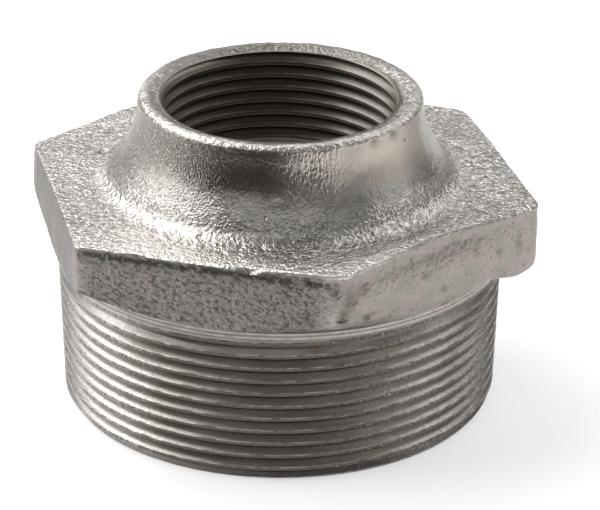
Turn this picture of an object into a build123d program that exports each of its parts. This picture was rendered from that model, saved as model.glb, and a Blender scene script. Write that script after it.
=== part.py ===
from build123d import *
import math
import os

# Reducing hexagon bush, one casting in malleable iron, threaded after casting.
# It stands on its threaded end: Z is the axis of both threads and z = 0 is the end face of the shank.
# Two opposite corners of the hexagon lie on the X axis. All sizes are in millimetres.

# Pipe thread form of both ends: a 55 degree V, 11 turns to the inch, crests left flat.
turns_per_inch = 11
thread_pitch = 25.4 / turns_per_inch
flank_half_angle = 27.5
thread_depth = 1.479

# Shank: tapered male thread. Its crest diameter is fixed at the gauge plane, a gauge length from the end.
male_gauge_diameter = 75.184
male_gauge_length = 17.5
male_taper_on_diameter = 1 / 16
male_thread_height = 26.2
male_washout_length = 3.6
male_first_groove_height = 1.68
lead_chamfer_height = 1.9
lead_chamfer_depth = 1.2
neck_diameter = 76.6

# Hexagon head, with its underside turned to a shallow cone and its cast corners and edges rounded.
across_flats = 78.4
underside_height = 27.6
underside_angle = 27.0
hex_top_height = 39.2
hex_corner_radius = 2.2
hex_top_edge_radius = 1.1
hex_lower_edge_radius = 0.5

# Collar: a short drafted wall, rounded at the rim, which flares into a conical skirt down to the head.
total_height = 54.0
collar_diameter = 48.2
collar_draft_angle = 4.0
collar_wall_height = 4.6
collar_skirt_angle = 28.0
rim_edge_radius = 1.4
collar_flare_radius = 12.0
collar_root_radius = 2.5

# Female thread: parallel, in a bore of its crest diameter, with a chamfered mouth and a plain end.
female_bore_diameter = 38.952
mouth_diameter = 41.9
mouth_chamfer_height = 0.9
bore_length = 21.0
tapped_length = 18.4
female_washout_length = 2.4
female_first_groove_drop = 2.1

# Cored hollow of the shank: drafted, open at the end face, closing to the bore at a rounded shoulder.
core_end_diameter = 60.4
core_draft_angle = 1.2
core_side_height = 23.5
core_step_diameter = 41.6
core_shoulder_radius = 3.5

# How far a cutting shape stands past the surface that it cuts.
overrun = 0.4


def slope(angle):
    return math.tan(math.radians(angle))


def crest_radius(height):
    """Radius of the taper thread's crests at a height above the end face."""
    return male_gauge_diameter / 2 + (height - male_gauge_length) * male_taper_on_diameter / 2


def upright_face(points):
    """Face in the XZ plane from (radius, height) points."""
    return Plane.XZ * make_face(Polyline(*points, close=True))


def round_corner(face, point, radius):
    """The face with its corner nearest to a (radius, height) point rounded."""
    corner = face.vertices().sort_by_distance((point[0], 0, point[1]))[0]
    return fillet(corner, radius)


def turned(face):
    return revolve(face, axis=Axis.Z)


def shank_blank():
    """Tapered shank before threading, with its lead chamfer and the plain neck under the head."""
    hidden_top = hex_top_height - hex_top_edge_radius
    return turned(
        upright_face(
            [
                (0, 0),
                (crest_radius(0) - lead_chamfer_depth, 0),
                (crest_radius(lead_chamfer_height), lead_chamfer_height),
                (crest_radius(male_thread_height), male_thread_height),
                (neck_diameter / 2, male_thread_height),
                (neck_diameter / 2, hidden_top),
                (0, hidden_top),
            ]
        )
    )


def hex_head():
    """Hexagon prism cut to the cone that the lathe leaves on its underside."""
    outline = RegularPolygon(across_flats / 2, 6, major_radius=False)
    outline = fillet(outline.vertices(), hex_corner_radius)
    head = extrude(outline, hex_top_height)
    corner_radius = across_flats / 2 / math.cos(math.radians(30)) + overrun
    rise = (corner_radius - neck_diameter / 2) * slope(underside_angle)
    cone = turned(
        upright_face(
            [
                (0, underside_height),
                (neck_diameter / 2, underside_height),
                (corner_radius, underside_height + rise),
                (corner_radius, hex_top_height),
                (0, hex_top_height),
            ]
        )
    )
    head = head & cone
    head = fillet(head.edges().group_by(Axis.Z)[-1], hex_top_edge_radius)
    underside = head.faces().filter_by(GeomType.CONE)[0]
    lower_edges = underside.edges() - underside.edges().group_by(Axis.Z)[0]
    return fillet(lower_edges, hex_lower_edge_radius)


def collar():
    """Collar round the female thread, blended into the top of the head."""
    rim_radius = collar_diameter / 2
    skirt_top = total_height - collar_wall_height
    skirt_top_radius = rim_radius + collar_wall_height * slope(collar_draft_angle)
    foot_radius = skirt_top_radius + (skirt_top - hex_top_height) * slope(collar_skirt_angle)
    face = upright_face(
        [
            (0, underside_height),
            (foot_radius + collar_root_radius, underside_height),
            (foot_radius + collar_root_radius, hex_top_height),
            (foot_radius, hex_top_height),
            (skirt_top_radius, skirt_top),
            (rim_radius, total_height),
            (0, total_height),
        ]
    )
    face = round_corner(face, (foot_radius, hex_top_height), collar_root_radius)
    face = round_corner(face, (skirt_top_radius, skirt_top), collar_flare_radius)
    face = round_corner(face, (rim_radius, total_height), rim_edge_radius)
    return turned(face)


def passage():
    """Hollow through the fitting: chamfered mouth, bore, shoulder and drafted core."""
    bore_radius = female_bore_diameter / 2
    bore_end_height = total_height - bore_length
    core_radius = core_end_diameter / 2
    core_top_radius = core_radius - core_side_height * slope(core_draft_angle)
    mouth_slope = (mouth_diameter / 2 - bore_radius) / mouth_chamfer_height
    face = upright_face(
        [
            (0, -overrun),
            (core_radius + overrun * slope(core_draft_angle), -overrun),
            (core_top_radius, core_side_height),
            (core_step_diameter / 2, bore_end_height),
            (bore_radius, bore_end_height),
            (bore_radius, total_height - mouth_chamfer_height),
            (mouth_diameter / 2 + overrun * mouth_slope, total_height + overrun),
            (0, total_height + overrun),
        ]
    )
    face = round_corner(face, (core_top_radius, core_side_height), core_shoulder_radius)
    return turned(face)


def helix_path(radius, cone_angle, height):
    """Right-hand helix up the Z axis in half turns, each starting where the one before it ends."""
    pieces = []
    end = Vector(radius, 0, 0)
    while end.Z < height:
        place = Pos(0, 0, end.Z) * Rot(0, 0, math.degrees(math.atan2(end.Y, end.X)))
        half_turn = Helix(thread_pitch, thread_pitch / 2, math.hypot(end.X, end.Y), cone_angle=cone_angle)
        pieces.append(place * half_turn)
        end = pieces[-1] @ 1
    return Wire(pieces)


def groove(crest, cone_angle, start_height, end_height, outward):
    """V groove on a right-hand helix, from one height up to another.

    crest is the crest radius at the start height. outward is 1 where the groove is open away from the axis, else -1.
    """
    path = helix_path(crest, cone_angle, end_height - start_height)
    root = crest - outward * thread_depth
    mouth = crest + outward * overrun
    half_width = (thread_depth + overrun) * slope(flank_half_angle)
    section = upright_face([(root, 0), (mouth, half_width), (mouth, -half_width)])
    return Pos(0, 0, start_height) * sweep(section, path=path, is_frenet=True)


def male_groove():
    """Groove of the taper thread. It grows shallower over its last turns, as the die leaves it."""
    cone_angle = math.degrees(math.atan(male_taper_on_diameter / 2))
    start = male_first_groove_height - 2 * thread_pitch
    cut = groove(crest_radius(start), cone_angle, start, male_thread_height + thread_pitch, 1)
    washout_height = male_thread_height - male_washout_length
    washout = turned(
        upright_face(
            [
                (0, start - thread_pitch),
                (crest_radius(start) - 2 * thread_depth, start - thread_pitch),
                (crest_radius(washout_height) - thread_depth, washout_height),
                (crest_radius(male_thread_height), male_thread_height),
                (neck_diameter / 2 + 2 * overrun, male_thread_height),
                (neck_diameter / 2 + 2 * overrun, male_thread_height + 3 * thread_pitch),
                (0, male_thread_height + 3 * thread_pitch),
            ]
        )
    )
    return cut - washout


def female_groove():
    """Groove of the parallel thread, which runs in from the mouth and fades out above the plain end of the bore."""
    crest = female_bore_diameter / 2
    end = total_height - tapped_length
    full_depth_height = end + female_washout_length
    first = total_height - female_first_groove_drop
    turns = math.ceil((first - end) / thread_pitch) + 1
    cut = groove(crest, 0, first - turns * thread_pitch, first + 2 * thread_pitch, -1)
    envelope = turned(
        upright_face(
            [
                (0, end),
                (crest, end),
                (crest + thread_depth, full_depth_height),
                (crest + 2 * thread_depth, full_depth_height),
                (crest + 2 * thread_depth, first + 3 * thread_pitch),
                (0, first + 3 * thread_pitch),
            ]
        )
    )
    return cut & envelope


def hex_bushing():
    body = shank_blank() + (hex_head() + collar())
    body = body - passage()
    body = body - male_groove()
    body = body - female_groove()
    return body


os.makedirs("parts", exist_ok=True)
bushing = hex_bushing()
bushing.label = "hex_bushing"
export_step(bushing, "parts/hex_bushing.step")
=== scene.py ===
import math
import bmesh
import bpy
import numpy as np
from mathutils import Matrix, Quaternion, Vector, noise


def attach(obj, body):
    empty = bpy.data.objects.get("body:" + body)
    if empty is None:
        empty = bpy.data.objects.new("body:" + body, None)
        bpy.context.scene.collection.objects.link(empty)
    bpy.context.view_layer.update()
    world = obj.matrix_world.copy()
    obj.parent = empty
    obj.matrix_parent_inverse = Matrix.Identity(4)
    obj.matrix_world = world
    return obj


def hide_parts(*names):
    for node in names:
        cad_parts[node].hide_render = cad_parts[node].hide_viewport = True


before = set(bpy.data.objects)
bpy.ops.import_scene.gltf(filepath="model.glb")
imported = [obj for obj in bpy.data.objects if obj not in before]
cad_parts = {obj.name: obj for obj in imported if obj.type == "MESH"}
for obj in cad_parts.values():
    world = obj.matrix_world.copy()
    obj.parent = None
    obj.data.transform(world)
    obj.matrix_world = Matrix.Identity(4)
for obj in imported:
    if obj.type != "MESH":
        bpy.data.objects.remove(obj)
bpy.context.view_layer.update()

# The head: hexagon and collar, cast in one with the shank below, in malleable iron.
# It is sand cast, so its profile is turned round the axis, pressed out to a hexagon,
# and left as uneven as the sand leaves it. Lengths are metres and slopes are rise over run.
MM = 0.001
apothem = 39.2 * MM
total_height = 54.0 * MM
hex_top = 39.2 * MM
hex_edge_radius = 0.7 * MM
underside = 27.6 * MM
underside_slope = math.tan(math.radians(27.0))
neck_radius = 38.3 * MM
neck_bottom = 26.2 * MM
collar_radius = 24.1 * MM
collar_draft = math.radians(4.0)
collar_wall = 5.6 * MM
skirt_angle = math.radians(29.5)
rim_edge_radius = 1.4 * MM
flare_radius = 12.0 * MM
collar_root_radius = 4.0 * MM
mouth_radius = 20.1 * MM
mouth_height = 53.2 * MM
band_start = (20.5 * MM, 53.35 * MM)
band_end = (22.0 * MM, 53.93 * MM)
land_start = (22.3 * MM, 54.0 * MM)
head_steps = 520
ring_spacing = 0.5 * MM
side_rings = 22
under_rings = 7
lean_from = 34.0 * MM
lean_to = 39.5 * MM
hanging_lip = 3.4 * MM
slack = 0.001 * MM

corner_reach = apothem / math.cos(math.radians(30))
skirt_top = (collar_radius + collar_wall * math.tan(collar_draft), total_height - collar_wall)
skirt_foot = (skirt_top[0] + (skirt_top[1] - hex_top) * math.tan(skirt_angle), hex_top)


def arc(centre, radius, first, last):
    """Points of an arc in the profile, from one angle to another. 0 points outwards and 90 up."""
    steps = max(3, round(abs(math.radians(last - first)) * radius / ring_spacing))
    angles = [math.radians(first + (last - first) * i / steps) for i in range(steps + 1)]
    return [(centre[0] + radius * math.cos(a), centre[1] + radius * math.sin(a)) for a in angles]


def straight(start, end, steps=None):
    """Points of a straight run in the profile, without its two ends."""
    steps = steps or max(2, round(math.dist(start, end) / ring_spacing))
    return [
        (start[0] + (end[0] - start[0]) * i / steps, start[1] + (end[1] - start[1]) * i / steps)
        for i in range(1, steps)
    ]


def hollow(corner, radius, first, last):
    """Arc that rounds an inner corner between two faces, each given by how far its normal points up."""
    middle = (first + last) / 2
    away = radius / math.cos((last - first) / 2)
    centre = (corner[0] + away * math.cos(middle), corner[1] + away * math.sin(middle))
    return arc(centre, radius, 180 + math.degrees(first), 180 + math.degrees(last))


def tidy_selection(piece):
    """Makes a piece the only one selected."""
    bpy.ops.object.select_all(action="DESELECT")
    piece.select_set(True)
    bpy.context.view_layer.objects.active = piece


def turned(name, points, steps, rise=0.0, rounds=1):
    """A profile of (radius, height) points turned round the axis, climbing by a rise each round."""
    mesh = bpy.data.meshes.new(name)
    mesh.from_pydata([(r, 0, z) for r, z in points], [(i, i + 1) for i in range(len(points) - 1)], [])
    piece = bpy.data.objects.new(name, mesh)
    bpy.context.collection.objects.link(piece)
    tidy_selection(piece)
    screw = piece.modifiers.new("turning", "SCREW")
    screw.steps = screw.render_steps = steps
    screw.screw_offset = rise
    screw.iterations = rounds
    screw.use_merge_vertices = True
    screw.merge_threshold = 0.00001
    bpy.ops.object.modifier_apply(modifier=screw.name)
    bpy.ops.object.mode_set(mode="EDIT")
    bpy.ops.mesh.select_all(action="SELECT")
    bpy.ops.mesh.remove_doubles(threshold=0.000005)
    bpy.ops.object.mode_set(mode="OBJECT")
    return piece


def places(piece):
    """Radius, angle and height of every vertex."""
    flat = np.empty(len(piece.data.vertices) * 3)
    piece.data.vertices.foreach_get("co", flat)
    x, y, z = flat.reshape(-1, 3).T
    return np.hypot(x, y), np.arctan2(y, x), z.copy()


def put(piece, radius, angle, height):
    """Moves every vertex to its radius, angle and height."""
    points = np.stack([radius * np.cos(angle), radius * np.sin(angle), height], 1)
    piece.data.vertices.foreach_set("co", points.ravel())
    piece.data.update()


def ease(value, start, end):
    """0 before start, 1 after end, and smooth between."""
    share = np.clip((value - start) / (end - start), 0, 1)
    return share * share * (3 - 2 * share)


def round_the_head(angle, values):
    """A value at any angle from twelve: at each corner and each flat's middle, from 0 degrees on."""
    at = np.degrees(angle) % 360 / 30
    low = np.floor(at).astype(int) % 12
    values = np.array(values)
    step = ease(at - np.floor(at), 0, 1)
    return values[low] * (1 - step) + values[(low + 1) % 12] * step


def hexagon(angle, rounding):
    """Distance from the axis to the hexagon's side, with its upright corners rounded."""
    off = np.radians((np.degrees(angle) + 30) % 60 - 30)
    side = apothem / np.cos(np.radians(30) - np.abs(off))
    arm = (apothem - rounding) / math.cos(math.radians(30))
    tangent = np.arctan2(rounding / 2, arm + rounding * math.cos(math.radians(30)))
    rounded = arm * np.cos(off) + np.sqrt(np.clip(rounding**2 - (arm * np.sin(off)) ** 2, 0, None))
    return np.where(np.abs(off) < tangent, rounded, side)


rim_reach = collar_radius + rim_edge_radius * (math.tan(collar_draft) - 1 / math.cos(collar_draft))
rim_centre = (rim_reach, total_height - rim_edge_radius)
edge_centre = (corner_reach - hex_edge_radius, hex_top - hex_edge_radius)
rim = arc(rim_centre, rim_edge_radius, 90, math.degrees(collar_draft))
flare = hollow(skirt_top, flare_radius, collar_draft, skirt_angle)
root = hollow(skirt_foot, collar_root_radius, skirt_angle, math.pi / 2)
edge = arc(edge_centre, hex_edge_radius, 90, 0)
side_end = (corner_reach, underside + (corner_reach - neck_radius) * underside_slope)
neck_top = (neck_radius, underside)
neck_end = (neck_radius, neck_bottom)
profile = [band_start] + straight(band_start, band_end) + [band_end, land_start] + rim
profile += flare + straight(flare[-1], root[0]) + root
profile += straight(root[-1], edge[0]) + edge + straight(edge[-1], side_end, side_rings) + [side_end]
profile += straight(side_end, neck_top, under_rings) + [neck_top] + straight(neck_top, neck_end) + [neck_end]

head = turned("hex_head", profile, head_steps)
turned_radius, angle, turned_height = places(head)

# Each list goes round the head from the corner on +X in steps of 30 degrees: corner, flat and on.
# The corner on +X hangs lower than the others.
corner_rounding = MM * round_the_head(angle, [2.6, 2.6, 3.0, 3.0, 3.0, 2.6, 2.6, 2.4, 2.2, 2.8, 3.4, 3.0])
top_rise = MM * round_the_head(angle, [0.4, 0.2, -0.7, 0.0, 0.2, 0.4, -0.35, -0.25, 0.15, 0.35, 0.9, 1.1])
flat_lean = MM * round_the_head(angle, [0.0, 0.2, 0.3, 0.2, 0.2, 0.2, 0.2, 0.3, 0.1, 0.1, 0.5, 1.1])
lip_height = MM * round_the_head(angle, [2.8, 2.0, 1.5, 1.5, 1.5, 1.5, 1.2, 2.2, 0.7, 0.6, 2.4, 3.4])
lip_flatness = round_the_head(angle, [0.2, 0, 0, 0, 0, 0, 0, 0, 0, 0, 0.5, 0.75])
corner_drop = MM * round_the_head(angle, [0.4, 0.0, 0.0, 0.3, 0.0, 0.0, 0.4, 0.0, 0.0, 0.0, 0.0, 0.2])
corner_drop += hanging_lip * (1 - ease(np.abs(np.degrees(angle)), 3, 14))

reach = hexagon(angle, corner_rounding)
inner = root[-1][0]
flat_part = edge_centre[0] - inner
on_head = turned_height < hex_top + 0.5 * MM
on_top = on_head & (turned_radius > inner) & (turned_height > hex_top - slack)
on_edge = on_head & (turned_radius >= edge_centre[0]) & (turned_height > edge_centre[1])
on_side = on_head & (turned_radius > corner_reach - slack) & (turned_height <= edge_centre[1])
on_under = (turned_height < side_end[1] - slack) & (turned_height >= underside - slack)

radius = turned_radius.copy()
height = turned_height.copy()
across_top = np.clip((turned_radius - inner) / flat_part, 0, 1)
radius = np.where(on_top, inner + across_top * (reach - hex_edge_radius - inner), radius)
radius = np.where(on_edge | on_side, turned_radius - corner_reach + reach, radius)
across_under = np.clip((turned_radius - neck_radius) / (corner_reach - neck_radius), 0, 1)
radius = np.where(on_under, neck_radius + across_under * (reach - neck_radius), radius)
low_end = underside + (reach - neck_radius) * underside_slope - corner_drop
drop_share = (radius - neck_radius) / np.maximum(reach - neck_radius, 0.1 * MM)
under_height = underside + (radius - neck_radius) * underside_slope - corner_drop * np.clip(drop_share, 0, 1)
height = np.where(on_under, under_height, height)
down_side = np.clip((edge_centre[1] - turned_height) / (edge_centre[1] - side_end[1]), 0, 1)
height = np.where(on_side, edge_centre[1] - down_side * (edge_centre[1] - low_end), height)

# The lower edge is a soft lip: side and underside are drawn to a curve between a point on each.
under_length = np.hypot(reach - neck_radius, low_end - underside)
along_under = np.minimum(lip_height, 0.9 * under_length)
from_corner = np.where(on_side, height - low_end, np.hypot(reach - radius, low_end - height))
bend = np.where(on_side, 0.5 - from_corner / (2 * lip_height), 0.5 + from_corner / (2 * along_under))
lip = (on_side | on_under) & (bend > 0) & (bend < 1)
share = along_under / np.maximum(under_length, 0.1 * MM)
lip_start = low_end + lip_height
lip_end_radius = reach - (reach - neck_radius) * share
lip_end_height = low_end - (low_end - underside) * share
soft_radius = (1 - bend**2) * reach + bend**2 * lip_end_radius
soft_height = (1 - bend) ** 2 * lip_start + 2 * bend * (1 - bend) * low_end + bend**2 * lip_end_height
soft_radius += lip_flatness * (reach + bend * (lip_end_radius - reach) - soft_radius)
soft_height += lip_flatness * (lip_start + bend * (lip_end_height - lip_start) - soft_height)
radius = np.where(lip, soft_radius, radius)
height = np.where(lip, soft_height, height)

# The top runs a little up and down towards its edge, and the flats lean in at the top.
above_side = on_head & (turned_height > edge_centre[1] - slack)
height += top_rise * ease(turned_radius, inner, corner_reach - 3 * MM) * above_side
stretch = np.where(on_side, ease(height, hex_top - 8 * MM, hex_top - hex_edge_radius), 0)
height += top_rise * stretch
leaning = (on_side | on_edge | on_top) * ease(turned_radius, inner, corner_reach)
radius -= flat_lean * ease(height, lean_from, lean_to) * leaning
put(head, radius, angle, height)

# The shank's taper thread: 55 degree V grooves, 11 to the inch, cut after casting and zinc coating.
# One pitch of the thread is turned up the axis, then tapered, run out under the head
# and chamfered at the end.
pitch = 25.4 / 11 * MM
depth = 1.479 * MM
taper = 1 / 32
gauge_radius = 37.592 * MM
gauge_height = 17.5 * MM
first_groove = 1.68 * MM
washout = 3.6 * MM
chamfer_height = 1.5 * MM
chamfer_depth = 1.15 * MM
shank_steps = 350
cut_angle = math.radians(28)

# The thread's form from root to root, as shares of the pitch and of the depth: a V with flat crests,
# worn at their upper edge.
thread_form = [(0, 1), (0.33, 0.03), (0.36, 0), (0.55, 0), (0.61, 0.08), (0.97, 0.84), (1, 1)]


def crest(height):
    """Radius of the taper thread's crests at a height."""
    return gauge_radius + (height - gauge_height) * taper


def cut(piece, height, keep_above):
    """Slices a piece flat at a height and drops the side that isn't kept."""
    tidy_selection(piece)
    bpy.ops.object.mode_set(mode="EDIT")
    bpy.ops.mesh.select_all(action="SELECT")
    bpy.ops.mesh.bisect(
        plane_co=(0, 0, height),
        plane_no=(0, 0, 1),
        clear_inner=keep_above,
        clear_outer=not keep_above,
        threshold=0.000001,
    )
    bpy.ops.object.mode_set(mode="OBJECT")


base_radius = crest(first_groove)
start = first_groove - 2 * pitch
one_pitch = [(base_radius - depth * deep, start + pitch * up) for up, deep in thread_form]
rounds = math.ceil(neck_bottom / pitch) + 4
shank = turned("shank_thread", one_pitch, shank_steps, pitch, rounds)
cut(shank, 0, True)
cut(shank, neck_bottom, False)
radius, angle, height = places(shank)
radius += (height - first_groove) * taper
groove_floor = crest(height) - depth
run_out = np.clip((height - (neck_bottom - washout)) / washout, 0, 1)
radius = np.maximum(radius, groove_floor + run_out * depth)
chamfer_end = crest(0) - chamfer_depth
chamfer = chamfer_end + height / chamfer_height * (crest(chamfer_height) - chamfer_end)
radius = np.where(height < chamfer_height, np.minimum(radius, chamfer), radius)
put(shank, radius, angle, height)
bpy.ops.object.shade_smooth_by_angle(angle=cut_angle)

# The collar's parallel thread: the same V grooves, tapped after casting in a bore of their crest diameter.
# It starts below a small chamfer and the rough band of the mouth, and fades out above a plain end.
bore_radius = 19.476 * MM
bore_end = 33.0 * MM
tapped_end = 35.6 * MM
full_depth = 38.0 * MM
mouth_chamfer = 0.5 * MM
mouth_step = 0.3 * MM
bore_first_groove = 51.9 * MM
bore_steps = 200

bore_rounds = math.ceil((total_height - bore_end) / pitch) + 4
start = bore_first_groove - (bore_rounds - 2) * pitch
one_pitch = [(bore_radius + depth * deep, start + pitch * up) for up, deep in thread_form]
bore = turned("bore_thread", one_pitch, bore_steps, pitch, bore_rounds)
cut(bore, bore_end, True)
cut(bore, mouth_height, False)
radius, angle, height = places(bore)
fade = np.clip((height - tapped_end) / (full_depth - tapped_end), 0, 1)
radius = np.minimum(radius, bore_radius + fade * depth)
mouth = bore_radius + (height - mouth_height + mouth_chamfer) / mouth_chamfer * (mouth_radius - bore_radius)
radius = np.where(height > mouth_height - mouth_chamfer, np.maximum(radius, mouth), radius)
radius = np.minimum(radius, mouth_radius + mouth_step + np.maximum(mouth_height - height, 0))
put(bore, radius, angle, height)
bpy.ops.object.shade_smooth_by_angle(angle=cut_angle)

# The hollow of the shank, left by a sand core: drafted, open at the end face, with a rounded shoulder
# up to the bore. It is as cast, and turned round the axis from its profile like the head.
core_end_radius = 30.2 * MM
core_slope = math.tan(math.radians(1.2))
core_side_height = 23.5 * MM
core_step_radius = 20.8 * MM
core_shoulder_radius = 3.5 * MM
core_steps = 160

core_top_radius = core_end_radius - core_side_height * core_slope
shoulder_angle = math.degrees(math.atan2(bore_end - core_side_height, core_top_radius - core_step_radius))
turn = 90 - shoulder_angle
shoulder_tangent = core_shoulder_radius * math.tan(math.radians(turn / 2))
arc_centre = (core_top_radius - core_shoulder_radius, core_side_height - shoulder_tangent)
shoulder = arc(arc_centre, core_shoulder_radius, turn, 0)
step = (core_step_radius, bore_end)
core_end = (core_end_radius, 0)
core_points = [step] + straight(step, shoulder[0], 8) + shoulder[::2] + [shoulder[-1]]
core_points += straight(core_points[-1], core_end, 12) + [core_end]
core = turned("core_hollow", core_points, core_steps)

# The four surfaces belong to one casting: they are joined, the gap between each pair of open rings
# is bridged, and all faces are turned outwards.
near_level = 0.02 * MM
near_radius = 0.4 * MM

bpy.ops.object.select_all(action="DESELECT")
for part in (head, shank, bore, core):
    part.select_set(True)
bpy.context.view_layer.objects.active = head
bpy.ops.object.join()
bushing = head
bushing.name = bushing.data.name = "hex_bushing_casting"


def bridge(mesh, first, second):
    """Faces between two open rings of edges, each given by its radius and height."""
    rings = []
    for ring_radius, ring_height in (first, second):
        ring = set()
        for rim_edge in mesh.edges:
            middle = (rim_edge.verts[0].co + rim_edge.verts[1].co) / 2
            level = abs(middle.z - ring_height) < near_level
            if rim_edge.is_boundary and level and abs(middle.xy.length - ring_radius) < near_radius:
                ring.update(rim_edge.verts)
        rings.append(sorted(ring, key=lambda vert: math.atan2(vert.co.y, vert.co.x)))
    turns = [[math.atan2(vert.co.y, vert.co.x) for vert in ring] + [math.inf] for ring in rings]
    here = [0, 0]
    while here[0] < len(rings[0]) or here[1] < len(rings[1]):
        side = 0 if turns[0][here[0]] <= turns[1][here[1]] else 1
        old = rings[side][here[side] - 1]
        new = rings[side][here[side]]
        other = rings[1 - side][here[1 - side] - 1]
        mesh.faces.new((old, new, other))
        here[side] += 1


bpy.ops.object.mode_set(mode="EDIT")
casting = bmesh.from_edit_mesh(bushing.data)
bridge(casting, (mouth_radius, mouth_height), band_start)
bridge(casting, (bore_radius, bore_end), (core_step_radius, bore_end))
bridge(casting, (core_end_radius, 0), (crest(0) - chamfer_depth, 0))
bridge(casting, (crest(neck_bottom), neck_bottom), (neck_radius, neck_bottom))
bmesh.update_edit_mesh(bushing.data)
bpy.ops.mesh.select_all(action="SELECT")
bpy.ops.mesh.normals_make_consistent(inside=False)
bpy.ops.object.mode_set(mode="OBJECT")

# The cast skin: sand and zinc leave the head lumpy, crinkled on top and pitted on its sides.
# Every vertex of the cast surfaces is pushed along its normal. Sizes and depths here are in millimetres.
skin_sink = 0.18
bore_edge = 21.3 * MM
lowest_cast = underside + 0.3 * MM

# Each dent is its centre, its size along each axis and its depth.
dents = [
    ((6.1, -39.2, 39.3), (1.5, 0.9, 0.6), 0.9),
    ((8.2, -39.0, 39.5), (0.9, 0.9, 0.5), 0.5),
    ((23.7, -37.4, 36.1), (1.2, 1.2, 2.2), 0.5),
    ((25.2, -35.0, 37.2), (1.0, 1.0, 1.2), 0.35),
    ((31.9, -23.1, 35.1), (0.6, 0.6, 0.6), 0.35),
    ((34.2, -19.2, 30.9), (0.7, 0.7, 0.7), 0.35),
    ((40.5, -8.2, 33.8), (0.6, 0.6, 0.6), 0.4),
    ((20.2, -13.1, 52.4), (0.9, 0.9, 0.5), 0.4),
    ((22.4, -9.0, 52.6), (1.1, 1.1, 0.5), 0.45),
    ((-32.1, -0.5, 39.2), (0.7, 0.7, 1.0), 0.45),
    ((22.6, -38.4, 33.0), (1.0, 1.0, 1.6), 0.3),
    ((26.0, -34.0, 31.2), (1.3, 1.3, 0.8), 0.3),
    ((37.9, -12.9, 36.4), (0.6, 0.6, 1.1), 0.3),
    ((42.9, -4.1, 34.6), (0.5, 0.5, 1.6), 0.3),
]


def lumps(point, size):
    """Noise from -1 to 1, in lumps of a size."""
    return noise.noise(point / size)


def pits(point, size, least):
    """Noise where it is over a least value, for scattered pits."""
    return max(0.0, lumps(point, size) - least)


def cast_skin(point, normal):
    """How far the cast skin stands out from its nominal surface."""
    turn = math.degrees(math.atan2(point.y, point.x)) % 360
    reach = math.hypot(point.x, point.y)
    upward = max(0.0, min(1.0, (normal.z - 0.35) / 0.5))
    lift = 0.12 * lumps(point, 7.0) + 0.05 * lumps(point, 2.8)
    if reach > 34:
        rough = max(0.0, min(1.0, (30 - abs(turn - 268)) / 6))
        edge = max(0.0, 1 - abs(normal.z - 0.6) / 0.4)
        lift += edge * (0.2 * lumps(point, 1.0) + 0.1)
        below_edge = max(0.0, 1 - abs(hex_top / MM - 1.3 + 0.5 * lumps(point, 2.2) - point.z) / 0.8)
        lift -= (1 - upward) * (0.35 + 0.65 * rough) * below_edge * 0.3
        lift += (1 - upward) * rough * 0.12 * lumps(point, 1.5)
        lift += (1 - upward) * (0.03 * lumps(point, 1.3) - 0.2 * pits(point, 1.6, 0.42))
    if reach > 30:
        coarse = max(0.0, 1 - abs((turn + 40) % 360 - 20) / 50)
        lift += upward * (0.13 * lumps(point, 1.25) + (0.05 + 0.12 * coarse) * lumps(point, 1.9))
    if reach < 34:
        lift += (1 - upward) * (0.05 * lumps(point, 1.4) - 0.12 * pits(point, 1.5, 0.35))
        lift += upward * 0.07 * lumps(point, 1.2)
    for centre, size, deep in dents:
        off = [(point[i] - centre[i]) / size[i] for i in range(3)]
        far = off[0] ** 2 + off[1] ** 2 + off[2] ** 2
        if far < 6:
            lift -= deep * math.exp(-far)
    return lift - skin_sink


skin_mesh = bushing.data
moved = []
for vert in skin_mesh.vertices:
    reach = vert.co.xy.length
    outside_bore = reach > bore_edge or vert.co.z > mouth_height + 0.05 * MM
    on_outside = vert.co.z > lowest_cast and outside_bore and vert.normal.z > -0.4
    in_hollow = reach < core_end_radius and 0.5 * MM < vert.co.z < bore_end - 0.5 * MM
    if on_outside or in_hollow:
        moved.append((vert, vert.co + vert.normal * cast_skin(vert.co / MM, vert.normal) * MM))
for vert, place in moved:
    vert.co = place
skin_mesh.update()
tidy_selection(bushing)
bpy.ops.object.shade_smooth_by_angle(angle=math.radians(45), keep_sharp_edges=True)

# Where each kind of cast surface lies, painted on the mesh from 0 to 1 for the zinc to read.
# The side in view is uneven: wrinkled, pitted or smooth in places, and some masks paint shade or light into
# the colour.
radius, angle, height = places(bushing)
turn = np.degrees(angle) % 360
normals = np.empty(len(skin_mesh.vertices) * 3)
skin_mesh.vertices.foreach_get("normal", normals)


def paint(name, values):
    """Stores one number per vertex under a name."""
    layer = skin_mesh.attributes.new(name, "FLOAT", "POINT")
    layer.data.foreach_set("value", np.asarray(values, dtype=np.float32))


def between(value, start, full, last, end):
    """1 from full to last, fading to 0 at start and end."""
    return ease(value, start, full) * (1 - ease(value, last, end))


def sector(start, full, last, end):
    """1 from one angle round the axis to another, in degrees, fading to 0 at start and end."""
    return between((turn - start) % 360, 0, full - start, last - start, end - start)


upright = 1 - ease(normals[2::3], 0.3, 0.75)
on_collar = upright * (1 - ease(radius, 30 * MM, 32 * MM)) * ease(height, 39.5 * MM, 41 * MM)
on_wall = on_collar * ease(height, 44.2 * MM, 46.4 * MM)
on_skirt = on_collar - on_wall
on_sides = upright * ease(radius, 34 * MM, 36 * MM)
crinkled_top = (1 - upright) * ease(radius, 29 * MM, 32 * MM)
outer_top = (1 - upright) * ease(radius, 30 * MM, 33 * MM)

low_skirt = ease(radius, 26.5 * MM, 28.5 * MM) * (radius < 32 * MM)
skirt_sparkle = 0.45 + 0.4 * (1 - sector(235, 255, 305, 325))
paint("sparkling", np.maximum(crinkled_top, low_skirt * skirt_sparkle))
# The top's right side is coarser, and its colour is also darkened there as painted shade.
paint("coarse", outer_top * sector(300, 330, 390, 420))
# Painted light: the front of the top is lightened in colour.
paint("top_painted_light", outer_top * sector(225, 250, 300, 324))

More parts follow.
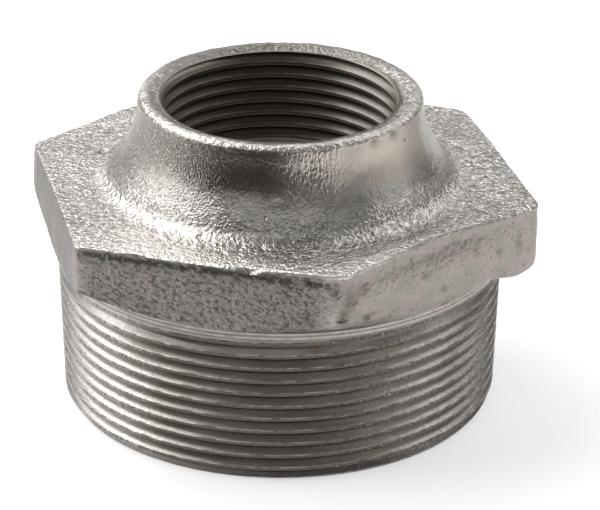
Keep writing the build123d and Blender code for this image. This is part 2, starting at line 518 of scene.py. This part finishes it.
below_edge = between(height, hex_top - 1.8 * MM, hex_top - 1.3 * MM, hex_top - 0.6 * MM, hex_top - 0.2 * MM)
paint("pitted", on_sides * sector(240, 244, 294, 300))
paint("smooth_side", on_sides * (1 - sector(240, 244, 296, 301)))
# Painted shade: the left flat is darkened in colour.
paint("left_flat_shade", on_sides * sector(180, 186, 236, 241))
paint("under_edge", on_sides * below_edge * sector(238, 242, 296, 302))

# Painted shade: the collar's wall at the left and front, its foot at the left and its right side are darkened
# in colour.
wall_shade = sector(150, 175, 278, 298) + 0.1 * sector(238, 256, 280, 298)
foot_shade = 1.05 * sector(150, 170, 212, 232)
right_collar_shade = 0.85 * sector(336, 354, 400, 420)
shaded_band = between(height, 44.6 * MM, 45.8 * MM, 47.8 * MM, 49.8 * MM)
paint("wall", on_wall * (1 - sector(306, 316, 360, 361)))
paint("skirt", on_skirt)
paint("wrinkled", on_wall * sector(284, 292, 306, 316))
paint("pale_collar", on_wall * sector(302, 314, 360, 361))
paint("collar_painted_shade", on_wall * wall_shade + on_collar * right_collar_shade + on_skirt * foot_shade)
paint("front_shade", on_collar * shaded_band * sector(232, 254, 286, 304))
# Painted glints and painted shade in a fine grain on the collar, its skirt and the top, which also gets a
# fine bump there.
paint("fine_sparkle", on_collar * sector(150, 180, 254, 276) + 0.6 * on_skirt + 0.5 * crinkled_top)

paint("rim", ease(height, 52.9 * MM, 53.3 * MM) * ease(radius, 20.2 * MM, 20.5 * MM))
# Painted shade: the rim's colour is darkened at the back.
paint("rim_back_shade", sector(30, 60, 150, 190))
paint("mouth_band", (height > 52.9 * MM) * (1 - ease(radius, 21.8 * MM, 22.5 * MM)))

# Painted shade: the colour darkens in each dent, most at its middle.
points = np.stack([radius * np.cos(angle), radius * np.sin(angle), height], 1) / MM
dent_shade = sum(np.exp(-(((points - centre) / size) ** 2).sum(1)) for centre, size, _ in dents)
paint("dent_shade", dent_shade)


def node(tree, kind, settings=None, **inputs):
    """A new node, with settings of its own and each input set to a value or linked from another node."""
    new = tree.nodes.new("ShaderNode" + kind)
    for name, value in (settings or {}).items():
        setattr(new, name, value)
    for name, value in inputs.items():
        feed(tree, new.inputs[name.replace("_", " ")], value)
    return new


def feed(tree, socket, value):
    """Sets a socket, or links it where the value is another socket."""
    if isinstance(value, bpy.types.NodeSocket):
        tree.links.new(value, socket)
    else:
        socket.default_value = value


def work_out(tree, operation, first, second=0.0):
    """Arithmetic on one or two numbers."""
    sum_node = node(tree, "Math", {"operation": operation})
    feed(tree, sum_node.inputs[0], first)
    feed(tree, sum_node.inputs[1], second)
    return sum_node.outputs[0]


def window(tree, value, low, high, bottom=0.0, top=1.0):
    """A number that runs from bottom to top as the value runs from low to high."""
    ranged = node(tree, "MapRange", Value=value, From_Min=low, From_Max=high, To_Min=bottom, To_Max=top)
    return ranged.outputs["Result"]


def tint(tree, share, first, second):
    """A colour blended from first to second by a share."""
    mixed = node(tree, "Mix", {"data_type": "RGBA"})
    feed(tree, mixed.inputs[0], share)
    for socket, colour in ((mixed.inputs[6], first), (mixed.inputs[7], second)):
        feed(tree, socket, colour if isinstance(colour, bpy.types.NodeSocket) else (*colour, 1))
    return mixed.outputs[2]


def grain(tree, place, scale, detail=2.0, stretch=(1, 1, 1), turned_by=(0, 0, 0), rough=0.5):
    """Noise with a number of grains to the millimetre, drawn out or turned where asked."""
    if stretch != (1, 1, 1) or turned_by != (0, 0, 0):
        turned_place = node(tree, "Mapping", Vector=place, Rotation=turned_by).outputs[0]
        place = node(tree, "Mapping", Vector=turned_place, Scale=stretch).outputs[0]
    return node(tree, "TexNoise", Vector=place, Scale=scale, Detail=detail, Roughness=rough).outputs["Fac"]


def in_millimetres(tree):
    """The place on the piece, in millimetres from its origin."""
    coordinates = node(tree, "TexCoord").outputs["Object"]
    return node(tree, "Mapping", Vector=coordinates, Scale=(1000, 1000, 1000)).outputs[0]


def painted(tree, name):
    """The numbers that were painted on the mesh under a name."""
    return node(tree, "Attribute", {"attribute_name": name}).outputs["Fac"]


def add_up(tree, *values):
    """The sum of several numbers."""
    total = values[0]
    for value in values[1:]:
        total = work_out(tree, "ADD", total, value)
    return total


def times(tree, *values):
    """The product of several numbers."""
    total = values[0]
    for value in values[1:]:
        total = work_out(tree, "MULTIPLY", total, value)
    return total


def apart(tree, first, second):
    """How far two numbers are apart."""
    return work_out(tree, "ABSOLUTE", work_out(tree, "SUBTRACT", first, second))


def coat(tree, colour, layers):
    """A colour with layers over it, from the first to the last, each a share and a colour of its own."""
    for share, layer_colour in layers:
        colour = tint(tree, share, colour, layer_colour)
    return colour


def finish(tree, colour, gloss, bump):
    """Sets the metal's colour, roughness and bump."""
    shader = tree.nodes["Principled BSDF"]
    shader.inputs["Metallic"].default_value = 1.0
    feed(tree, shader.inputs["Base Color"], colour)
    feed(tree, shader.inputs["Roughness"], gloss)
    feed(tree, shader.inputs["Normal"], bump.outputs[0])


# Hot-dip zinc on the rough casting: crinkled on top with painted glints, pitted and dull on one flat,
# smoother and warmer on the others, and given painted shade at both sides of the collar.
zinc = bpy.data.materials.new("zinc_skin")
zinc.use_nodes = True
tree = zinc.node_tree
place = in_millimetres(tree)
sparkling = painted(tree, "sparkling")
pitted = painted(tree, "pitted")
smooth_side = painted(tree, "smooth_side")
wrinkled = painted(tree, "wrinkled")
collar_painted_shade = painted(tree, "collar_painted_shade")
pale_collar = painted(tree, "pale_collar")
rim_band = painted(tree, "rim")
on_wall = painted(tree, "wall")
skirt = painted(tree, "skirt")
coarse = painted(tree, "coarse")
under_edge = painted(tree, "under_edge")
left_flat_shade = painted(tree, "left_flat_shade")
top_painted_light = painted(tree, "top_painted_light")
fine_sparkle = painted(tree, "fine_sparkle")
rim_back_shade = painted(tree, "rim_back_shade")
dent_shade = painted(tree, "dent_shade")
front_shade = painted(tree, "front_shade")
mouth_band = painted(tree, "mouth_band")

crinkle = grain(tree, place, 1.5, 2.0)
coarse_crinkle = grain(tree, place, 0.85, 2.0)
peel = grain(tree, place, 2.2, 2.0, (1, 1, 0.7))
ragged = grain(tree, place, 0.9, 2.0)
fine = grain(tree, place, 4.6, 1.0)
soft = grain(tree, place, 1.1, 2.0)
slanted = grain(tree, place, 0.95, 4.0, (1.0, 1.0, 1.7), (0, math.radians(-28), 0), 0.62)
pocks = grain(tree, place, 1.9, 2.0, (1.0, 1.0, 1.3))
creases = grain(tree, place, 1.0, 2.0, (1.9, 1.9, 0.65))
blotches = grain(tree, place, 0.16, 3.0)
tints = grain(tree, place, 0.33, 2.0)
specks = node(tree, "TexVoronoi", Vector=place, Scale=0.34)
speck_luck = node(tree, "SeparateColor", Color=specks.outputs["Color"]).outputs[0]
speck_size = window(tree, speck_luck, 0.6, 1.0, 0.0, 0.12)
speck_far = work_out(tree, "SUBTRACT", specks.outputs["Distance"], speck_size)
speck = times(tree, window(tree, speck_far, 0.01, -0.04), work_out(tree, "SUBTRACT", 1.0, sparkling))
slanted = add_up(tree, slanted, times(tree, tints, 0.08))
slant_pit = times(tree, pitted, window(tree, slanted, 0.565, 0.605))
# A fine grain of painted glints and painted shade.
sparkle_noise = grain(tree, place, 2.7, 1.0)
sparkle_glint = times(tree, fine_sparkle, window(tree, sparkle_noise, 0.56, 0.66))
sparkle_shade = times(tree, fine_sparkle, window(tree, sparkle_noise, 0.46, 0.36))
slant_grain = times(tree, pitted, window(tree, pocks, 0.51, 0.6))
pock = times(tree, smooth_side, window(tree, pocks, 0.66, 0.71))
rough_top = add_up(tree, sparkling, times(tree, rim_band, 0.7))
# Painted glints and painted shade: bright grains on the crinkled top and the rim, and dark ones in the
# crevices between.
glint = times(tree, rough_top, window(tree, crinkle, 0.52, 0.62))
crevice_shade = times(tree, rough_top, window(tree, crinkle, 0.46, 0.38))
deep_crevice_shade = times(tree, coarse, window(tree, coarse_crinkle, 0.45, 0.38))
edge_shade = times(tree, under_edge, window(tree, ragged, 0.38, 0.48))

height_mm = add_up(
    tree,
    times(tree, rough_top, crinkle, 0.42),
    times(tree, coarse, coarse_crinkle, 0.3),
    times(tree, fine, window(tree, rough_top, 0, 1, 0.02, 0.07)),
    times(tree, soft, 0.04),
    times(tree, skirt, peel, 0.08),
    times(tree, fine_sparkle, sparkle_noise, 0.16),
    times(tree, on_wall, peel, 0.13),
    times(tree, slanted, pitted, -0.8),
    times(tree, pitted, pocks, 0.2),
    times(tree, smooth_side, soft, 0.16),
    times(tree, smooth_side, peel, 0.05),
    times(tree, pale_collar, peel, 0.06),
    times(tree, pock, -0.12),
    times(tree, wrinkled, creases, 0.3),
    times(tree, speck, -0.1),
)
bump = node(tree, "Bump", Strength=1.0, Distance=0.001, Height=height_mm)

zinc_colour = tint(tree, window(tree, blotches, 0.35, 0.65), (0.475, 0.452, 0.425), (0.535, 0.51, 0.478))
warm = tint(tree, window(tree, tints, 0.42, 0.6), (0.36, 0.31, 0.292), (0.305, 0.296, 0.256))
mauve = tint(tree, window(tree, tints, 0.42, 0.58), (0.31, 0.275, 0.27), (0.27, 0.265, 0.235))
layers = [
    (times(tree, smooth_side, 0.9), warm),
    (times(tree, pock, 0.7), (0.17, 0.135, 0.11)),
    (pale_collar, (0.58, 0.52, 0.465)),
    (times(tree, wrinkled, 0.9), (0.6, 0.54, 0.49)),
    (times(tree, mouth_band, 0.8), (0.21, 0.195, 0.175)),
    # Painted shade on the top's right side.
    (times(tree, coarse, 0.3), (0.33, 0.315, 0.295)),
    # Painted light on the top's front.
    (times(tree, top_painted_light, 0.85), (0.86, 0.83, 0.79)),
    # Painted glints, and painted shade in the crevices.
    (times(tree, glint, 0.8), (0.82, 0.79, 0.76)),
    (times(tree, crevice_shade, 0.6), (0.25, 0.23, 0.21)),
    (times(tree, deep_crevice_shade, 0.6), (0.14, 0.125, 0.115)),
    # Painted shade on the back of the rim.
    (times(tree, rim_band, rim_back_shade, 0.75), (0.2, 0.185, 0.165)),
    (pitted, mauve),
    # Painted shade on the collar.
    (times(tree, collar_painted_shade, 0.8), (0.16, 0.14, 0.125)),
    # Painted glints and painted shade in the fine grain.
    (times(tree, sparkle_glint, 0.6), (0.6, 0.57, 0.54)),
    (times(tree, sparkle_shade, 0.5), (0.15, 0.135, 0.12)),
    (times(tree, slant_grain, 0.55), (0.52, 0.48, 0.445)),
    (times(tree, slant_pit, 0.7), (0.085, 0.073, 0.064)),
    (times(tree, edge_shade, 0.85), (0.06, 0.052, 0.045)),
    # Painted shade on the left flat.
    (times(tree, left_flat_shade, 0.9), (0.15, 0.138, 0.13)),
    (times(tree, front_shade, 0.1), (0.07, 0.062, 0.055)),
    (times(tree, speck, 0.7), (0.13, 0.11, 0.095)),
    # Painted shade in the dents.
    (times(tree, dent_shade, 0.75), (0.1, 0.08, 0.065)),
]
gloss = window(tree, blotches, 0.35, 0.65, 0.27, 0.34)
gloss = add_up(tree, gloss, times(tree, add_up(tree, smooth_side, pale_collar, pitted), 0.14))
gloss = add_up(tree, gloss, times(tree, sparkling, -0.05))
finish(tree, coat(tree, zinc_colour, layers), gloss, bump)
skin_mesh.materials.append(zinc)

# Cut iron: both threads, the neck and the end face were turned after the zinc bath, so they show
# brown-grey iron with torn crests, painted highlights on the crest edges and flanks, and painted shade in the
# roots and the bore.
iron = bpy.data.materials.new("cut_iron")
iron.use_nodes = True
tree = iron.node_tree
place = in_millimetres(tree)
axes = node(tree, "SeparateXYZ", Vector=place).outputs
around = work_out(tree, "DIVIDE", work_out(tree, "ARCTAN2", axes[1], axes[0]), 2 * math.pi)
in_bore = painted(tree, "in_bore")
on_neck = painted(tree, "on_neck")
outside = work_out(tree, "SUBTRACT", 1.0, in_bore)
threaded = work_out(tree, "SUBTRACT", 1.0, on_neck)

# Phase runs from 0 to 1 up each pitch of either thread, from root to root.
crest_middle = 0.455
crest_edge = 0.58
first_root = window(tree, in_bore, 0, 1, first_groove / MM, bore_first_groove / MM)
climb = work_out(tree, "DIVIDE", work_out(tree, "SUBTRACT", axes[2], first_root), pitch / MM)
climb = work_out(tree, "SUBTRACT", climb, around)
waver = window(tree, grain(tree, place, 1.3, 2.0), 0, 1, -0.5, 0.5)
phase = work_out(tree, "FRACT", add_up(tree, climb, times(tree, waver, 0.07)))
near_root = window(tree, apart(tree, phase, 0.5), 0.45, 0.485)
# Painted shade: a dark line along each root of the shank's thread, fading out towards the neck.
root_shade = times(tree, near_root, threaded, window(tree, axes[2], 25.0, 21.5))
on_crest = times(tree, window(tree, apart(tree, phase, crest_middle), 0.15, 0.1), threaded)
off_edge = apart(tree, phase, crest_edge)

teeth = grain(tree, place, 2.4, 2.5, (1, 1, 0.5))
rings = grain(tree, place, 1.0, 2.0, (0.1, 0.1, 3.2))
patches = grain(tree, place, 0.2, 2.0)
broken = grain(tree, place, 0.5, 2.0, (1, 1, 0.3))
grit = grain(tree, place, 2.9, 2.0, (1, 1, 0.7))
torn = times(tree, outside, painted(tree, "torn"))
tear = times(tree, on_crest, torn, window(tree, teeth, 0.47, 0.58))
dark_grit = times(tree, torn, window(tree, grit, 0.55, 0.66))
bright_grit = times(tree, torn, window(tree, grit, 0.43, 0.34))
# Painted highlight: a broken bright line along the upper edge of each crest, fainter in the bore.
crest_edge_highlight = times(tree, window(tree, off_edge, 0.045, 0.015), threaded, window(tree, broken, 0.38, 0.6))

height_mm = add_up(
    tree,
    times(tree, tear, -0.08),
    times(tree, teeth, 0.03),
    times(tree, grit, 0.03),
    times(tree, rings, window(tree, on_neck, 0, 1, 0.02, 0.06)),
)
bump = node(tree, "Bump", Strength=1.0, Distance=0.001, Height=height_mm)
iron_colour = tint(tree, window(tree, patches, 0.35, 0.65), (0.34, 0.315, 0.29), (0.39, 0.37, 0.35))
neck_light = window(tree, grain(tree, place, 0.35, 3.0, (1, 1, 3.0)), 0.35, 0.6, 0.15, 0.85)
# Painted shade inside the bore: darker colour, darkest in its grooves, and less on its right side.
bore_shade = times(tree, in_bore, painted(tree, "bore_depth_shade"))
layers = [
    (times(tree, window(tree, rings, 0.35, 0.65), 0.4), (0.2, 0.175, 0.155)),
    # Painted highlight and painted shade on the flanks.
    (times(tree, painted(tree, "flank_highlight"), 0.6), (0.62, 0.595, 0.57)),
    (times(tree, painted(tree, "flank_shade"), 0.4), (0.19, 0.17, 0.15)),
    (times(tree, on_neck, neck_light), (0.4, 0.375, 0.35)),
    (times(tree, on_crest, outside, painted(tree, "crest_shade")), (0.1, 0.087, 0.077)),
    (times(tree, tear, 0.6), (0.07, 0.06, 0.055)),
    # Painted shade in the roots.
    (times(tree, root_shade, 0.6), (0.1, 0.085, 0.075)),
    (window(tree, axes[2], 1.4, 1.1, 0, 0.6), (0.13, 0.115, 0.1)),
    (times(tree, bore_shade, 0.85), (0.27, 0.24, 0.205)),
    (times(tree, bore_shade, window(tree, off_edge, 0.26, 0.14), 0.9), (0.085, 0.074, 0.063)),
    # Painted highlights on the crest edges.
    (times(tree, in_bore, crest_edge_highlight, 0.35), (0.34, 0.31, 0.28)),
    (times(tree, crest_edge_highlight, outside), (0.55, 0.52, 0.48)),
    (times(tree, dark_grit, 0.4), (0.14, 0.122, 0.108)),
    (times(tree, bright_grit, 0.4), (0.66, 0.63, 0.6)),
]
for tool_mark in (26.35, 27.05):
    off_mark = apart(tree, axes[2], tool_mark)
    layers.append((window(tree, off_mark, 0.2, 0.08, 0, 0.65), (0.09, 0.08, 0.07)))
rust_spot = node(tree, "VectorMath", {"operation": "DISTANCE"}, Vector=place)
rust_spot.inputs[1].default_value = (16.9, -33.8, 24.5)
layers.append((window(tree, rust_spot.outputs["Value"], 1.2, 0.3, 0, 0.6), (0.3, 0.15, 0.06)))
gloss = add_up(tree, window(tree, teeth, 0.35, 0.65, 0.3, 0.37), times(tree, in_bore, 0.13))
gloss = add_up(tree, gloss, times(tree, on_crest, 0.08), times(tree, tear, 0.12))
finish(tree, coat(tree, iron_colour, layers), gloss, bump)
skin_mesh.materials.append(iron)

# The numbers that the iron reads are painted here, and the faces that the tools cut are given the iron.
paint("in_bore", radius < 21.1 * MM)
paint("on_neck", (height > neck_bottom - 0.1 * MM) & (radius > 33 * MM))
paint("crest_shade", 0.9 - 0.6 * sector(180, 200, 242, 260) - 0.2 * sector(305, 325, 420, 440))
# Painted highlight on the thread's flanks at the left and front right, and painted shade on them at the front
# and right.
paint("flank_highlight", sector(185, 205, 238, 256) + 0.4 * sector(302, 312, 328, 338))
paint("flank_shade", sector(250, 262, 292, 306) + 0.8 * sector(330, 342, 390, 410))
paint("torn", 1 - 0.8 * sector(244, 262, 296, 308))
# Painted shade inside the bore, less on its right side.
paint("bore_depth_shade", 1 - 0.65 * sector(28, 46, 68, 86))
for face in skin_mesh.polygons:
    reach = face.center.xy.length
    level = face.center.z
    on_shank = reach > core_end_radius + 0.1 * MM and level < underside + 0.2 * MM
    facing_down = face.normal.z < -0.6
    tapped = bore_end - 0.2 * MM < level < mouth_height + 0.02 * MM and reach < 21.2 * MM
    if on_shank or facing_down or tapped:
        face.material_index = 1

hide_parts("hex_bushing")
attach(bushing, "root")

# The floor: a plain pale table top under the piece, large enough to fill every view.
# It glows a little where it is seen, directly or in the metal, so that it comes out white.
bpy.ops.object.select_all(action="DESELECT")
bpy.ops.mesh.primitive_plane_add(size=6)
floor = bpy.context.active_object
floor.name = "floor"
paper = bpy.data.materials.new("pale_paper")
paper.use_nodes = True
paper_shader = paper.node_tree.nodes["Principled BSDF"]
paper_shader.inputs["Base Color"].default_value = (0.78, 0.78, 0.78, 1)
paper_shader.inputs["Roughness"].default_value = 0.9
paper_shader.inputs["Specular IOR Level"].default_value = 0.0
paper_shader.inputs["Emission Color"].default_value = (1, 1, 1, 1)
ray = node(paper.node_tree, "LightPath").outputs
seen = add_up(
    paper.node_tree, ray["Is Camera Ray"], ray["Is Glossy Ray"], ray["Is Transmission Ray"]
)
feed(paper.node_tree, paper_shader.inputs["Emission Strength"], window(paper.node_tree, seen, 0, 1, 0.0, 0.5))
floor.data.materials.append(paper)

# A black card on the table in front, as used for bright metal, widening away from the piece.
# Only reflections show it: it is hidden from the camera and casts no shadow.
card_near = 0.135
card_far = 1.6
card_spread = 0.85
card_margin = 0.08
card_height = 0.5 * MM
card_turn = math.radians(-7.088)
bpy.ops.object.select_all(action="DESELECT")
bpy.ops.mesh.primitive_plane_add(size=1)
card = bpy.context.active_object
card.name = "black_card"
for vert in card.data.vertices:
    out = card_near if vert.co.y > 0 else card_far
    across = 2 * vert.co.x * (card_spread * out + card_margin)
    vert.co.x = across * math.cos(card_turn) + out * math.sin(card_turn)
    vert.co.y = across * math.sin(card_turn) - out * math.cos(card_turn)
    vert.co.z = card_height
felt = bpy.data.materials.new("black_felt")
felt.use_nodes = True
felt.node_tree.nodes["Principled BSDF"].inputs["Base Color"].default_value = (0.03, 0.03, 0.03, 1)
felt.node_tree.nodes["Principled BSDF"].inputs["Roughness"].default_value = 1.0
card.data.materials.append(felt)
card.visible_camera = False
card.visible_diffuse = False
card.visible_shadow = False


# The lamps: large soft boxes and panels round the piece, hidden from the camera, and a dim grey room.
# The brightest stand to the left, and the panels fill what the metal mirrors at the back and right.
def lamp(name, heading, climb_angle, away, width, height, glow):
    """A soft box turned to the piece, at a heading and climb seen from it, with a surface brightness."""
    towards = Vector(
        (
            math.cos(math.radians(heading)) * math.cos(math.radians(climb_angle)),
            math.sin(math.radians(heading)) * math.cos(math.radians(climb_angle)),
            math.sin(math.radians(climb_angle)),
        )
    )
    light = bpy.data.lights.new(name, "AREA")
    light.shape = "RECTANGLE"
    light.size = width
    light.size_y = height
    light.energy = glow * math.pi * width * height
    box = bpy.data.objects.new(name, light)
    bpy.context.collection.objects.link(box)
    box.location = towards * away
    box.rotation_mode = "QUATERNION"
    box.rotation_quaternion = (-towards).to_track_quat("-Z", "Y")
    box.visible_camera = False


lamp("key_softbox", 176, 48, 1.5, 1.9, 1.1, 3.4)
lamp("low_softbox", 194, 9, 1.4, 1.2, 0.4, 2.5)
lamp("fill_softbox", 44, 44, 1.2, 1.2, 0.8, 1.35)
lamp("back_panel", 112, 41, 1.6, 1.9, 1.9, 0.84)
lamp("right_panel", 14, 14, 1.3, 1.2, 0.6, 0.36)
lamp("front_panel", 288, 48, 1.3, 1.7, 0.4, 0.7)
world = bpy.data.worlds.new("studio")
bpy.context.scene.world = world
world.use_nodes = True
world.node_tree.nodes["Background"].inputs["Color"].default_value = (0.12, 0.12, 0.12, 1)

# The camera: the photograph's viewing angle, through a long lens from a little over half a metre.
# Its aim, angles and roll were fitted to the photograph.
azimuth = math.radians(16.912)
elevation = math.radians(25.007)
roll = math.radians(0.53)
distance = 570.487 * MM
aim = Vector((3.317, 1.009, 23.774)) * MM
back = Vector(
    (math.sin(azimuth) * math.cos(elevation), -math.cos(azimuth) * math.cos(elevation), math.sin(elevation))
)
camera = bpy.data.objects.new("camera", bpy.data.cameras.new("camera"))
bpy.context.collection.objects.link(camera)
camera.data.sensor_width = 36
camera.data.lens = 199.85
camera.location = aim + back * distance
camera.rotation_mode = "QUATERNION"
camera.rotation_quaternion = (-back).to_track_quat("-Z", "Y") @ Quaternion((0, 0, 1), roll)
bpy.context.scene.camera = camera
bpy.context.scene.view_settings.view_transform = "Standard"
